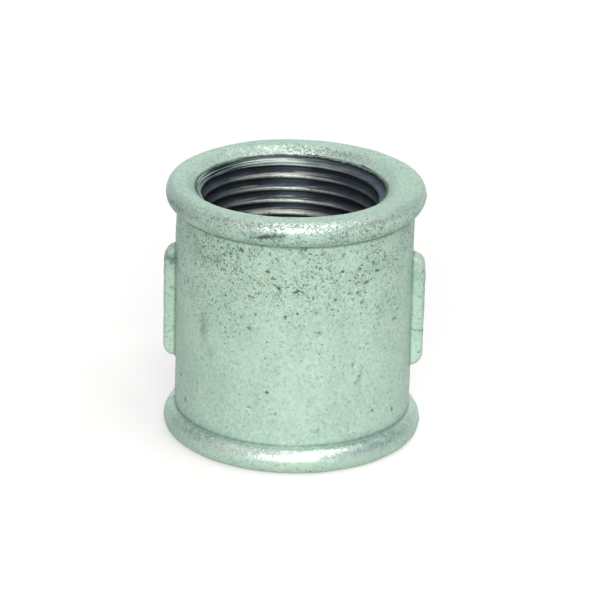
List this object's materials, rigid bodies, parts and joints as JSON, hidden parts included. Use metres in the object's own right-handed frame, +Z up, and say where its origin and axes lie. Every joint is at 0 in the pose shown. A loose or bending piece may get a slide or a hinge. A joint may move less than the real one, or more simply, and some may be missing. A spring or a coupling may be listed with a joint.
{
  "type": "threaded pipe socket",
  "caption": "Short galvanised iron pipe socket with a rounded bead at each end, two side ribs and an internal parallel pipe thread in both mouths.",
  "frame": {"origin": "middle of the lower end face, on the axis of the casting's outside", "axes": "+Z up the casting's axis, out of the upper mouth; +X through one of the two side ribs"},
  "size_m": [0.0452, 0.0448, 0.046],
  "materials": {
    "galvanised_iron": "hot-dip zinc, satin grey-green with fine dark pits and bright grains on the beads",
    "machined_thread": "bare tapped iron, dark and lightly oiled, with fine turning marks"
  },
  "bodies": {
    "root": {"socket_casting": "galvanised_iron"}
  },
  "joints": []
}
